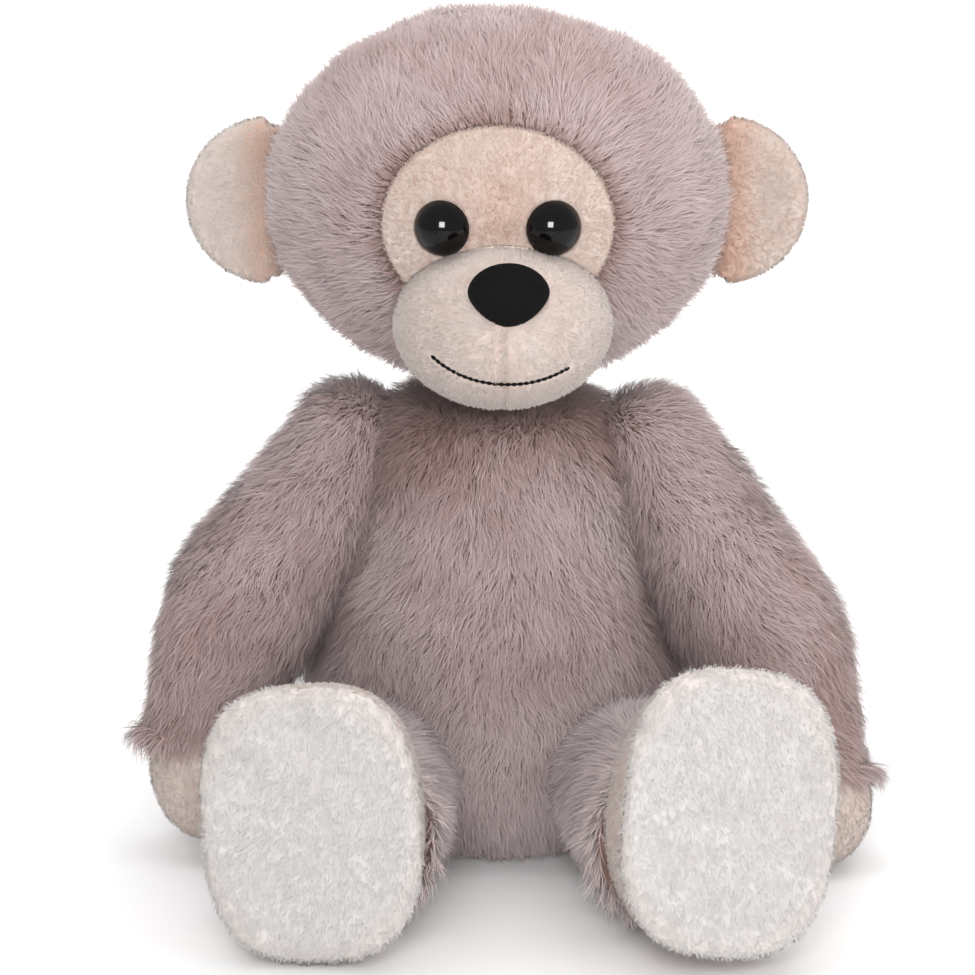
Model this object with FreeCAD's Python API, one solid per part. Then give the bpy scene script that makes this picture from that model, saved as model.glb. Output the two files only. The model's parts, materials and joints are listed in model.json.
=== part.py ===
import FreeCAD, Part
import math
import os

# A seated stuffed monkey. Millimetres, +Z up, the monkey faces -Y.
# The origin is the centre of the flat seat. "left" and "right" are the monkey's own: its left is +X.

VECTOR = FreeCAD.Vector
ORIGIN = VECTOR(0, 0, 0)
X_AXIS, Y_AXIS, Z_AXIS = VECTOR(1, 0, 0), VECTOR(0, 1, 0), VECTOR(0, 0, 1)
SIDES = {"left": 1, "right": -1}

# Fabric build-up, measured inwards from the mean surface of the pile
FUR = 6.0  # long pile and its backing
PLUSH = 2.5  # short pile and its backing, on face, hands, feet and ears
EASE = 0.2  # between a cover and the filling inside it
JOINT_GAP = 0.5  # between bodies that move on each other
SEAM_GAP = 0.05  # between pieces sewn together
OVERRUN = 1.0  # how far a tool runs past the end it opens

# Torso: a pear with a flat seat, half width against height
SEAT_R = 44.0
TORSO_OUTLINE = [(53.5, 9), (58.5, 36), (52.5, 70), (46, 90), (42, 105), (38, 118)]
TORSO_TOP_R, TORSO_TOP_Z = 31.0, 129.0
PELLET_BAG_CENTRE = VECTOR(0, 15, 22)
PELLET_BAG_R, PELLET_BAG_HALF_HEIGHT = 22.0, 13.0

# Head: an egg lying across, as deep as it is high
HEAD_CENTRE, HEAD_HALF_WIDTH, HEAD_R = VECTOR(0, -4, 190), 68.5, 56.5
BROW_CENTRE, BROW_HALF_WIDTH, BROW_HALF_HEIGHT = VECTOR(0, -20, 191), 32.5, 27.5
MUZZLE_CENTRE, MUZZLE_R, MUZZLE_HALF_HEIGHT = VECTOR(1.5, -52, 163), 30.5, 23.5
PANEL_SINK = 2.0  # the face panel lies this far below the mean surface of the fur
NOSE_CENTRE, NOSE_HALF_WIDTH, NOSE_R = VECTOR(3, -77, 176), 11.6, 9.6
MOUTH_CENTRE, MOUTH_WIDTH, MOUTH_RISE, THREAD = VECTOR(1, -78, 153), 39.0, 15.0, 1.2
MOUTH_TILT, MOUTH_LEAN, MOUTH_SINK = 38.0, 4.0, 3.0

# Eyes: a moulded dome with a stem that a washer locks from behind
EYE_X, EYE_Y, EYE_Z, EYE_YAW = 15.8, -56.6, 191.3, 13.0
EYE_R, EYE_HEIGHT, STEM_R, STEM_LENGTH = 8.0, 6.0, 2.0, 12.0
WASHER_R, WASHER_THICK, WASHER_SETBACK = 7.0, 1.5, 5.5

# Ears: a front and a back panel sewn round the rim, standing out from a root on the head's side
EAR_ROOT_X, EAR_Y, EAR_Z = 68.0, 5.0, 187.5
EAR_R, EAR_REACH, EAR_THICK = 24.5, 23.5, 9.0
EAR_ROOT_HALF_HEIGHT = 22.0
EAR_ROUND = 0.42  # the rim's rounding, as a share of the thickness

# Neck: a stuffed plug that the head turns and nods on, closed by a ring of thread
NECK_PIVOT, NECK_BALL_R = VECTOR(0, -2, 136), 14.0
NECK_STEM_R, NECK_STEM_BOTTOM = 10.0, 116.0
NECK_THREAD_Z, NECK_THREAD_R = 130.6, 0.6

# Arms: the two hang differently, so each has its own shoulder, wrist and hand
SHOULDER = {"left": VECTOR(46, -2, 115), "right": VECTOR(-44, -2, 116)}
WRIST = {"left": VECTOR(96, -42, 26), "right": VECTOR(-92, -33, 35)}
HAND = {"left": VECTOR(95.5, -48, 18.5), "right": VECTOR(-88, -39, 23.5)}
SHOULDER_R, ELBOW_R, WRIST_R = 19.5, 22.5, 17.5
HAND_R, HAND_HALF_LENGTH = 14.0, 19.0

# Legs and feet
HIP = {"left": VECTOR(33, -30, 25.2), "right": VECTOR(-33, -30, 25.2)}
ANKLE = {"left": VECTOR(55, -102, 25.2), "right": VECTOR(-46.5, -102, 25.2)}
HIP_R, ANKLE_R, KNEE_SWELL = 24.7, 24.0, 0.15
SOLE = {"left": VECTOR(64, -133, 45.2), "right": VECTOR(-51.5, -133, 41)}
FOOT_LEAN = {"left": 15.0, "right": 2.0}
FOOT_ROLL = {"left": 9.0, "right": 2.0}
FOOT_YAW = {"left": 12.0, "right": -6.0}
FOOT_HALF_WIDTH, FOOT_HALF_HEIGHT, FOOT_DEPTH = 30.5, 40.0, 36.0
HEEL_HALF_WIDTH, HEEL_HALF_HEIGHT, HEEL_DROP = 28.0, 33.0, 2.5
SOLE_THICK, SOLE_EDGE, FOOT_BACK_ROUND = 4.0, 3.5, 12.0
FOOT_BAG_HALF_WIDTH, FOOT_BAG_R = 17.0, 9.5
HIP_LIFT = 35.0
LIFT_STEPS = 2  # reliefs in the belly between the lowered and the raised thigh
RELIEF_LENGTH, RELIEF_EXTRA = 60.0, 0.3

BIG = 600.0
EGG_STEPS, EGG_FLAT_ANGLE = 12, 84.0  # the points on a turned egg's outline, and where its end flats start


def around_z(edges):
    """Revolves a closed outline in the XZ plane about Z."""
    return Part.Face(Part.Wire(edges)).revolve(ORIGIN, Z_AXIS, 360)


def egg(centre, half_length, radius, direction=Z_AXIS):
    """A ball drawn out, or pressed in, along direction."""
    stretch = FreeCAD.Matrix()
    stretch.scale(1, 1, half_length / radius)
    solid = Part.makeSphere(radius).transformGeometry(stretch)
    solid.Placement = FreeCAD.Placement(centre, FreeCAD.Rotation(Z_AXIS, direction))
    return solid


def wide_egg(centre, half_width, radius):
    """An egg lying along X as one turned surface, with a small flat at each side."""
    outline = []
    for step in range(EGG_STEPS + 1):
        angle = math.radians(EGG_FLAT_ANGLE * (2 * step / EGG_STEPS - 1))
        outline.append(VECTOR(radius * math.cos(angle), 0, half_width * math.sin(angle)))
    side = Part.BSplineCurve()
    side.interpolate(outline)
    start, end = outline[0], outline[-1]
    low, high = VECTOR(0, 0, start.z), VECTOR(0, 0, end.z)
    solid = around_z([
        Part.makeLine(low, start),
        side.toShape(),
        Part.makeLine(end, high),
        Part.makeLine(high, low),
    ])
    solid.Placement = FreeCAD.Placement(centre, FreeCAD.Rotation(Z_AXIS, X_AXIS))
    return solid


def hollow(outer, inner):
    """A closed skin between two nested solids that nowhere touch."""
    return Part.makeSolid(Part.Compound([outer.Shells[0], inner.Shells[0].reversed()]))


def half_space(direction, point):
    """A large block on the far side of point, seen along an axis direction."""
    block = Part.makeBox(BIG, BIG, BIG, VECTOR(-BIG / 2, -BIG / 2, -BIG / 2))
    block.translate(point + direction * (BIG / 2))
    return block


def cut_all(shape, tools):
    for tool in tools:
        shape = shape.cut(tool)
    return shape


def torso_form(inset):
    """The pear, closed by a flat seat and a flat top, smaller by inset all round."""
    seat = VECTOR(SEAT_R - inset, 0, inset)
    top = VECTOR(TORSO_TOP_R - inset, 0, TORSO_TOP_Z - inset)
    between = [VECTOR(r - inset, 0, z) for r, z in TORSO_OUTLINE]
    side = Part.BSplineCurve()
    side.interpolate([seat] + between + [top])
    foot, crown = VECTOR(0, 0, seat.z), VECTOR(0, 0, top.z)
    return around_z([
        Part.makeLine(foot, seat),
        side.toShape(),
        Part.makeLine(top, crown),
        Part.makeLine(crown, foot),
    ])


def tapered_limb(start, end, start_r, mid_r, end_r, extra=0.0):
    """A limb with a round start, a curved side and a flat end, extra past the end point."""
    length = end.sub(start).Length + extra
    middle = start_r * math.sqrt(0.5)
    tip, rim, mouth = VECTOR(0, 0, -start_r), VECTOR(start_r, 0, 0), VECTOR(end_r, 0, length)
    far = VECTOR(0, 0, length)
    limb = around_z([
        Part.Arc(tip, VECTOR(middle, 0, -middle), rim).toShape(),
        Part.Arc(rim, VECTOR(mid_r, 0, length / 2), mouth).toShape(),
        Part.makeLine(mouth, far),
        Part.makeLine(far, tip),
    ])
    limb.Placement = FreeCAD.Placement(start, FreeCAD.Rotation(Z_AXIS, end.sub(start)))
    return limb


def sleeve_form(side, inset, extra=0.0):
    return tapered_limb(
        SHOULDER[side], WRIST[side], SHOULDER_R - inset, ELBOW_R - inset, WRIST_R - inset, extra)


def hand_form(side, inset):
    direction = HAND[side].sub(WRIST[side])
    return egg(HAND[side], HAND_HALF_LENGTH - inset, HAND_R - inset, direction)


def leg_form(side, inset, extra=0.0):
    knee_r = (HIP_R + ANKLE_R) / 2 + KNEE_SWELL
    return tapered_limb(
        HIP[side], ANKLE[side], HIP_R - inset, knee_r - inset, ANKLE_R - inset, extra)


def put_foot(side, shape):
    """Moves a shape from the foot's own frame: sole centre at the origin, depth +Z, toes +X."""
    shape.rotate(ORIGIN, VECTOR(1, 1, 1), -120)
    shape.rotate(ORIGIN, X_AXIS, -FOOT_LEAN[side])
    shape.rotate(ORIGIN, Y_AXIS, SIDES[side] * FOOT_ROLL[side])
    shape.rotate(ORIGIN, Z_AXIS, FOOT_YAW[side])
    shape.translate(SOLE[side])
    return shape


def foot_form(side, inset):
    """A thick oval pebble with a flat sole and a rounder back."""
    sole = Part.Ellipse(ORIGIN, FOOT_HALF_HEIGHT - inset, FOOT_HALF_WIDTH - inset).toShape()
    heel = Part.Ellipse(ORIGIN, HEEL_HALF_HEIGHT - inset, HEEL_HALF_WIDTH - inset).toShape()
    sole.translate(VECTOR(0, 0, inset))
    heel.translate(VECTOR(-HEEL_DROP, 0, FOOT_DEPTH - inset))
    pebble = Part.makeLoft([Part.Wire(sole), Part.Wire(heel)], True, True)
    rims = [e for e in pebble.Edges if len(e.Vertexes) == 1]
    rims.sort(key=lambda e: e.CenterOfMass.z)
    pebble = pebble.makeFillet(SOLE_EDGE, [rims[0]])
    rims = [e for e in pebble.Edges if len(e.Vertexes) == 1]
    rims.sort(key=lambda e: e.CenterOfMass.z)
    pebble = pebble.makeFillet(FOOT_BACK_ROUND - inset, [rims[-1]])
    return put_foot(side, pebble)


def sole_layer(side):
    """The front layer of a foot, as thick as the sole panel."""
    return put_foot(side, half_space(Z_AXIS * -1, VECTOR(0, 0, SOLE_THICK)))


def thigh_spaces(side, gap):
    """The space that the thigh needs in the belly as the leg lifts."""
    start = HIP[side]
    along = ANKLE[side].sub(start)
    across = Z_AXIS.cross(along)
    spaces = [ball(start, HIP_R + gap)]
    for step in range(LIFT_STEPS + 1):
        thigh = Part.makeCylinder(HIP_R + gap + RELIEF_EXTRA, RELIEF_LENGTH, start, along)
        thigh.rotate(start, across, -HIP_LIFT * step / LIFT_STEPS)
        spaces.append(thigh)
    return spaces


def ball(centre, radius):
    return Part.makeSphere(radius, centre)


def brow_block(grow):
    """The face opening above the muzzle: an oval, as a block through the front of the head."""
    oval = Part.Ellipse(ORIGIN, BROW_HALF_WIDTH + grow, BROW_HALF_HEIGHT + grow).toShape()
    block = Part.Face(Part.Wire(oval)).extrude(VECTOR(0, 0, BIG))
    block.rotate(ORIGIN, X_AXIS, 90)
    block.translate(BROW_CENTRE)
    return block


def head_form(inset):
    return wide_egg(HEAD_CENTRE, HEAD_HALF_WIDTH - inset, HEAD_R - inset)


def muzzle_form(inset):
    return egg(MUZZLE_CENTRE, MUZZLE_HALF_HEIGHT - inset, MUZZLE_R - inset)


def put_eye(shape, side):
    """Moves a shape from the eye's own frame, face along +Z, to one side of the face."""
    shape.rotate(ORIGIN, X_AXIS, 90)
    shape.rotate(ORIGIN, Z_AXIS, SIDES[side] * EYE_YAW)
    shape.translate(VECTOR(SIDES[side] * EYE_X, EYE_Y, EYE_Z))
    return shape


def eye(side, grow=0.0):
    """A dome with a rolled edge, and the stem behind it."""
    r, height, back = EYE_R + grow, EYE_HEIGHT + grow, -1 - grow
    rim, crown = VECTOR(r, 0, 0), VECTOR(0, 0, height)
    curve_r = (r * r + height * height) / (2 * height)
    half_angle = math.asin(r / curve_r) / 2
    shoulder = VECTOR(curve_r * math.sin(half_angle), 0, height - curve_r * (1 - math.cos(half_angle)))
    base, foot = VECTOR(r - 1, 0, back), VECTOR(0, 0, back)
    dome = around_z([
        Part.Arc(rim, shoulder, crown).toShape(),
        Part.makeLine(crown, foot),
        Part.makeLine(foot, base),
        Part.makeLine(base, rim),
    ])
    stem = Part.makeCylinder(STEM_R + grow, STEM_LENGTH + grow, ORIGIN, Z_AXIS * -1)
    return put_eye(dome.fuse(stem), side)


def eye_washer(side):
    disc = Part.makeCylinder(WASHER_R, WASHER_THICK, VECTOR(0, 0, -WASHER_SETBACK - WASHER_THICK))
    hole = Part.makeCylinder(STEM_R, BIG, VECTOR(0, 0, -BIG / 2))
    return put_eye(disc.cut(hole), side)


def washer_room(side):
    height = WASHER_THICK + 2 * EASE
    base = VECTOR(0, 0, -WASHER_SETBACK - WASHER_THICK - EASE)
    return put_eye(Part.makeCylinder(WASHER_R + EASE, height, base), side)


def neck_form(gap):
    foot = VECTOR(NECK_PIVOT.x, NECK_PIVOT.y, NECK_STEM_BOTTOM - gap)
    stem = Part.makeCylinder(NECK_STEM_R + gap, NECK_PIVOT.z - foot.z, foot)
    return ball(NECK_PIVOT, NECK_BALL_R + gap).fuse(stem)


def neck_thread(grow=0.0):
    lift = NECK_THREAD_Z - NECK_PIVOT.z
    ring_r = math.sqrt(NECK_BALL_R ** 2 - lift ** 2) + NECK_THREAD_R
    centre = VECTOR(NECK_PIVOT.x, NECK_PIVOT.y, NECK_THREAD_Z)
    return Part.makeTorus(ring_r, NECK_THREAD_R + grow, centre)


def ear_root(side):
    return VECTOR(SIDES[side] * EAR_ROOT_X, EAR_Y, EAR_Z)


def ear_form(side, inset):
    """The part of a rounded disc outside the head, with a round root that folds in a groove."""
    thick = EAR_THICK - 2 * inset
    out = X_AXIS * SIDES[side]
    disc = Part.makeCylinder(EAR_R - inset, thick, VECTOR(0, -thick / 2, 0), Y_AXIS)
    rims = [e for e in disc.Edges if isinstance(e.Curve, Part.Circle)]
    disc = disc.makeFillet(thick * EAR_ROUND, rims)
    disc.translate(ear_root(side) + out * (EAR_REACH - EAR_R))
    half = EAR_ROOT_HALF_HEIGHT - inset
    root = Part.makeCylinder(thick / 2, 2 * half, ear_root(side) - Z_AXIS * half)
    return disc.common(half_space(out, ear_root(side))).fuse(root)


def ear_groove(side):
    """The groove in the head's side that the ear's root folds in."""
    half = EAR_R + JOINT_GAP
    return Part.makeCylinder(EAR_THICK / 2 + JOINT_GAP, 2 * half, ear_root(side) - Z_AXIS * half)


def build_torso():
    spaces = [neck_form(JOINT_GAP)]
    for side in SIDES:
        spaces.append(sleeve_form(side, -JOINT_GAP))
        spaces.extend(thigh_spaces(side, JOINT_GAP))
    bag = egg(PELLET_BAG_CENTRE, PELLET_BAG_HALF_HEIGHT, PELLET_BAG_R)
    bag_room = egg(PELLET_BAG_CENTRE, PELLET_BAG_HALF_HEIGHT + EASE, PELLET_BAG_R + EASE)
    return {
        "torso_fur": cut_all(hollow(torso_form(0), torso_form(FUR)), spaces),
        "torso_stuffing": cut_all(hollow(torso_form(FUR + EASE), bag_room), spaces),
        "pellet_bag": bag,
    }


def build_neck():
    return {
        "neck_stuffing": neck_form(0).cut(neck_thread(SEAM_GAP)),
        "neck_stitch": neck_thread(),
    }


def mouth_stitch():
    """A line of thread where a tilted plane crosses the muzzle's surface."""
    strip = Part.makeBox(MOUTH_WIDTH, THREAD, MOUTH_RISE, VECTOR(-MOUTH_WIDTH / 2, -THREAD / 2, -MOUTH_SINK))
    strip.rotate(ORIGIN, X_AXIS, -MOUTH_TILT)
    strip.rotate(ORIGIN, Z_AXIS, MOUTH_LEAN)
    strip.translate(MOUTH_CENTRE)
    return strip.common(muzzle_form(-0.5 * THREAD)).cut(muzzle_form(0))


def build_head():
    grooves = [ear_groove(side) for side in SIDES]
    neck = neck_form(JOINT_GAP)
    hardware = [eye(side, EASE) for side in SIDES]
    rooms = [washer_room(side) for side in SIDES]
    skin = hollow(head_form(0), head_form(FUR))
    skin = cut_all(skin, [brow_block(EASE), muzzle_form(-EASE), neck] + grooves)
    panel = hollow(head_form(PANEL_SINK), head_form(FUR)).common(brow_block(0))
    muzzle = cut_all(hollow(muzzle_form(0), muzzle_form(PLUSH)), [head_form(FUR)] + hardware)
    filling = head_form(FUR + EASE).fuse(muzzle_form(PLUSH + EASE))
    nose = wide_egg(NOSE_CENTRE, NOSE_HALF_WIDTH, NOSE_R)
    parts = {
        "head_fur": skin,
        "face_panel": cut_all(panel, [muzzle_form(-SEAM_GAP)] + hardware),
        "muzzle_panel": muzzle,
        "head_stuffing": cut_all(filling, [neck] + hardware + rooms + grooves),
        "nose": nose.cut(muzzle_form(0)),
        "mouth_stitch": mouth_stitch(),
    }
    for side in SIDES:
        parts["eye_" + side] = eye(side)
        parts["eye_washer_" + side] = eye_washer(side)
    return parts


def build_ear(side):
    shell = ear_form(side, 0).cut(ear_form(side, PLUSH))
    seam = VECTOR(0, EAR_Y, 0)
    return {
        "ear_front_" + side: shell.common(half_space(Y_AXIS * -1, seam)),
        "ear_back_" + side: shell.common(half_space(Y_AXIS, seam)),
        "ear_wadding_" + side: ear_form(side, PLUSH + EASE),
    }


def build_arm(side):
    core = sleeve_form(side, FUR)
    sleeve = sleeve_form(side, 0).cut(sleeve_form(side, FUR, OVERRUN)).cut(hand_form(side, -SEAM_GAP))
    hand = hollow(hand_form(side, 0), hand_form(side, PLUSH)).cut(core)
    return {
        "arm_fur_" + side: sleeve,
        "hand_" + side: hand,
        "arm_stuffing_" + side: sleeve_form(side, FUR + EASE).fuse(hand_form(side, PLUSH + EASE)),
    }


def foot_bag(side, grow):
    centre = VECTOR(-FOOT_HALF_HEIGHT / 2, 0, FOOT_DEPTH / 2)
    return put_foot(side, egg(centre, FOOT_BAG_HALF_WIDTH + grow, FOOT_BAG_R + grow, Y_AXIS))


def build_leg(side):
    core = leg_form(side, FUR)
    foot = foot_form(side, 0)
    shell = hollow(foot, foot_form(side, PLUSH))
    filling = leg_form(side, FUR + EASE).fuse(foot_form(side, PLUSH + EASE))
    return {
        "leg_fur_" + side: leg_form(side, 0).cut(leg_form(side, FUR, OVERRUN)).cut(foot),
        "foot_upper_" + side: shell.cut(sole_layer(side)).cut(core),
        "foot_sole_" + side: shell.common(sole_layer(side)),
        "leg_stuffing_" + side: filling.cut(foot_bag(side, EASE)),
        "foot_pellet_bag_" + side: foot_bag(side, 0),
    }


def main():
    os.makedirs("parts", exist_ok=True)
    parts = {}
    parts.update(build_torso())
    parts.update(build_neck())
    parts.update(build_head())
    for side in SIDES:
        parts.update(build_ear(side))
        parts.update(build_arm(side))
        parts.update(build_leg(side))
    for name, shape in parts.items():
        box = shape.BoundBox
        volume = shape.Volume / 1000
        print(f"{name:24s} solids {len(shape.Solids)} valid {shape.isValid()} {volume:8.2f} cm3"
              f" z {box.ZMin:7.2f} to {box.ZMax:7.2f}")
        shape.exportStep(os.path.join("parts", name + ".step"))


main()
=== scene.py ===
import json
import math

import bmesh
import bpy
import numpy as np
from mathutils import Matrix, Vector
from mathutils.bvhtree import BVHTree
from mathutils.kdtree import KDTree


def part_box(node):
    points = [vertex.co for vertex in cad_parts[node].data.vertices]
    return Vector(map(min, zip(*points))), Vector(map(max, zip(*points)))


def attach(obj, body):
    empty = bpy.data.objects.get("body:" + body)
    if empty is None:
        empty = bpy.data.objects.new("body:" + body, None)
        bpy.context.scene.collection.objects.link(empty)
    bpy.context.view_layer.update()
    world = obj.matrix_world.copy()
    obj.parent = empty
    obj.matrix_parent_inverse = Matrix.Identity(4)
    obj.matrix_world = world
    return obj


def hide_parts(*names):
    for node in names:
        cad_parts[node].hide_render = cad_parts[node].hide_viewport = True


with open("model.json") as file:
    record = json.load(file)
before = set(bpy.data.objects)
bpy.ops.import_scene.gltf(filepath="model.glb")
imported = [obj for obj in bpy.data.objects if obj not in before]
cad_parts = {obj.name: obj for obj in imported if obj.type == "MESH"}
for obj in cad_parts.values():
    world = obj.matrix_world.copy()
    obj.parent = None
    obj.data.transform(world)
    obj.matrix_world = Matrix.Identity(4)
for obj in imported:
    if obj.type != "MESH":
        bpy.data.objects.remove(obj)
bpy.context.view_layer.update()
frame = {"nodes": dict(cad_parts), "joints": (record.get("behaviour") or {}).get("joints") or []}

# A seated stuffed monkey with a long mauve-grey pile. Metres, +Z up, the monkey faces -Y.

MM = 0.001
SIDES = {"left": 1, "right": -1}
NODES = frame["nodes"]
JOINTS = {joint["name"]: joint for joint in frame["joints"]}

# Pile: the CAD surface is the mean surface of the fur, and the cloth lies below it
CLOTH_SINK = 4.4 * MM
FUR_LENGTH = 8.0 * MM
FUR_WIDTH = 0.26 * MM
FUR_DENSITY = 3.5e6  # strands a square metre
FUZZ_LENGTH = 1.25 * MM
FUZZ_WIDTH = 0.23 * MM
FUZZ_DENSITY = 3.4e6
FUZZ_LEAN = 55  # degrees from upright
SOLE_LENGTH = 1.7 * MM
TONE_EDGE = 0.008  # half the width a strand takes across the tone map
FUR_TUFT = 3.6 * MM  # spacing of the tufts that strands gather into
FUZZ_TUFT = 1.8 * MM
FLOOR_GAP = 0.2 * MM  # long fur that would go through the floor lies on it

# Mean tone of each piece's fur or nap, from 0, darkest, to 1
HEAD_TONE = 0.66
TORSO_TONE = 0.62
NECK_TONE = 0.45
ARM_TONE = 0.60
# Painted light: the legs' fur tone is set high to lift the shade that the feet and belly cast on them.
LEG_LIT_TONE = 1.0
BROW_TONE = 0.32
MUZZLE_TONE = 0.66
HAND_TONE = 0.60
FOOT_TONE = 0.60
# Painted light and shade: the ears' nap differs in tone by side, the left ear darker than the right.
EAR_TONE = {"left": 0.40, "right": 0.80}

# Shape of the face, sleeves and feet
BROW_HALF_HEIGHT = 27.5 * MM
ELBOW_OUT = 5.5 * MM
CUFF_DROP = 7.0 * MM  # how far the outside of a cuff hangs past the CAD sleeve
CUFF_TAPER = 0.16
ANKLE_FLARE = 0.12  # upward, as a share of the distance from the leg's line
SIDE_FLARE = 0.26
SLEEVE_VOXEL = 1.8 * MM
CORNER_POWER = 2.8  # 2 leaves a sole oval, more makes it squarer
SOLE_LIFT = 0.4 * MM


# Numbers

def unit(vectors):
    length = np.linalg.norm(vectors, axis=-1, keepdims=True)
    return vectors / np.maximum(length, 1e-12)


def along(vectors, normals):
    """The part of each vector that lies in the surface."""
    return vectors - np.sum(vectors * normals, axis=1, keepdims=True) * normals


def lattice_noise(points, scale, seed):
    """Smooth noise from -1 to 1, with features about scale metres across."""
    table = np.random.default_rng(seed).uniform(-1, 1, (32, 32, 32))
    grid = points / scale + 100.0
    cell = np.floor(grid).astype(int)
    part = grid - cell
    part = part * part * (3 - 2 * part)
    total = np.zeros(len(points))
    for dx in (0, 1):
        for dy in (0, 1):
            for dz in (0, 1):
                value = table[(cell[:, 0] + dx) % 32, (cell[:, 1] + dy) % 32, (cell[:, 2] + dz) % 32]
                share = np.abs(1 - np.array((dx, dy, dz)) - part)
                total += value * share.prod(axis=1)
    return total


def tuft_centres(points, size, seed):
    """The nearest point of a jittered grid, which gathers neighbouring strands into one tuft."""
    jitter = np.random.default_rng(seed).uniform(0.1, 0.9, (16, 16, 16, 3))
    cell = np.floor(points / size).astype(int)
    best = np.full(len(points), 1e9)
    nearest = np.array(points)
    for dx in (-1, 0, 1):
        for dy in (-1, 0, 1):
            for dz in (-1, 0, 1):
                near = cell + np.array((dx, dy, dz))
                spot = (near + jitter[near[:, 0] % 16, near[:, 1] % 16, near[:, 2] % 16]) * size
                gap = np.sum((spot - points) ** 2, axis=1)
                closer = gap < best
                best[closer] = gap[closer]
                nearest[closer] = spot[closer]
    return nearest


def steady(direction):
    """A comb that lies one way everywhere."""
    def comb(p, n):
        return np.repeat(np.array(direction)[None], len(p), axis=0)
    return comb


def everywhere(p, n):
    return np.ones(len(p), bool)


def bump(value, middle, width):
    return np.exp(-((value - middle) / width) ** 2)


def step(value, low, high):
    t = np.clip((value - low) / (high - low), 0, 1)
    return t * t * (3 - 2 * t)


# Meshes

def link(name, mesh):
    obj = bpy.data.objects.new(name, mesh)
    bpy.context.scene.collection.objects.link(obj)
    return obj


def read(mesh):
    co = np.zeros(len(mesh.vertices) * 3, np.float32)
    mesh.vertices.foreach_get("co", co)
    normal = np.zeros(len(mesh.vertices) * 3, np.float32)
    mesh.vertices.foreach_get("normal", normal)
    return co.reshape(-1, 3).astype(float), normal.reshape(-1, 3).astype(float)


def triangles(mesh):
    mesh.calc_loop_triangles()
    found = np.zeros(len(mesh.loop_triangles) * 3, np.int32)
    mesh.loop_triangles.foreach_get("vertices", found)
    return found.reshape(-1, 3)


def write(mesh, points):
    mesh.vertices.foreach_set("co", points.astype(np.float32).ravel())
    mesh.update()


def smooth(obj):
    obj.data.polygons.foreach_set("use_smooth", [True] * len(obj.data.polygons))
    obj.data.update()
    return obj


def ripple(points, normal, depth, scale, seed):
    """Points moved in and out of the surface by smooth noise."""
    return points + normal * (depth * lattice_noise(points, scale, seed))[:, None]


def edge_ends(mesh):
    edges = np.zeros(len(mesh.edges) * 2, np.int32)
    mesh.edges.foreach_get("vertices", edges)
    return edges.reshape(-1, 2)


def relax(mesh, rounds):
    """Moves each vertex toward the mean of its neighbours and part of the way back, which keeps the size."""
    edges = edge_ends(mesh)
    points, _ = read(mesh)
    count = np.maximum(np.bincount(edges.ravel(), minlength=len(points)), 1)[:, None]
    for share in [0.6, -0.55] * rounds:
        total = np.zeros_like(points)
        np.add.at(total, edges[:, 0], points[edges[:, 1]])
        np.add.at(total, edges[:, 1], points[edges[:, 0]])
        points = points + share * (total / count - points)
    write(mesh, points)


def cover(name, nodes, voxel, sink, rounds=4, end=None):
    """An even cover over the outside of CAD nodes, sunk below their surface but not at a flat end."""
    points, faces = [], []
    for node in nodes:
        mesh = NODES[node].data
        co, _ = read(mesh)
        faces.append(triangles(mesh) + sum(len(p) for p in points))
        points.append(co)
    mesh = bpy.data.meshes.new(name)
    mesh.from_pydata(np.concatenate(points).tolist(), [], np.concatenate(faces).tolist())
    obj = link(name, mesh)
    even = obj.modifiers.new("even", "REMESH")
    even.mode = "VOXEL"
    even.voxel_size = voxel
    graph = bpy.context.evaluated_depsgraph_get()
    made = bpy.data.meshes.new_from_object(obj.evaluated_get(graph))
    obj.modifiers.clear()
    obj.data = made
    made.name = name
    relax(made, rounds)
    drop_inside(made)
    co, normal = read(made)
    depth = np.full(len(co), sink)
    if end is not None:
        depth *= 1 - step(normal @ end, 0.4, 0.7)
    write(made, co - normal * depth[:, None])
    return smooth(obj)


def drop_inside(mesh):
    """Leaves out the side of a shell that faces its own hollow."""
    co, normal = read(mesh)
    tree = BVHTree.FromPolygons(co.tolist(), triangles(mesh).tolist())
    inner = np.zeros(len(co), bool)
    for i in range(len(co)):
        start = Vector(co[i] + normal[i] * 0.4 * MM)
        hit = tree.ray_cast(start, Vector(normal[i]), 0.3)
        inner[i] = hit[0] is not None
    inner &= shared(mesh, inner) > 0.5
    work = bmesh.new()
    work.from_mesh(mesh)
    work.verts.ensure_lookup_table()
    gone = [work.verts[i] for i in np.flatnonzero(inner)]
    bmesh.ops.delete(work, geom=gone, context="VERTS")
    parts = islands(work)
    if parts:
        largest = max(parts, key=len)
        small = [v for part in parts if part is not largest for v in part]
        bmesh.ops.delete(work, geom=small, context="VERTS")
    work.to_mesh(mesh)
    work.free()
    mesh.update()


def shared(mesh, chosen):
    """The share of each vertex's neighbours that are chosen."""
    edges = edge_ends(mesh)
    total = np.bincount(edges[:, 0], chosen[edges[:, 1]], len(chosen))
    total += np.bincount(edges[:, 1], chosen[edges[:, 0]], len(chosen))
    return total / np.maximum(np.bincount(edges.ravel(), minlength=len(chosen)), 1)


def islands(work):
    seen, parts = set(), []
    for start in work.verts:
        if start in seen:
            continue
        part, stack = [], [start]
        seen.add(start)
        while stack:
            vertex = stack.pop()
            part.append(vertex)
            for edge in vertex.link_edges:
                other = edge.other_vert(vertex)
                if other not in seen:
                    seen.add(other)
                    stack.append(other)
        parts.append(part)
    return parts


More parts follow.
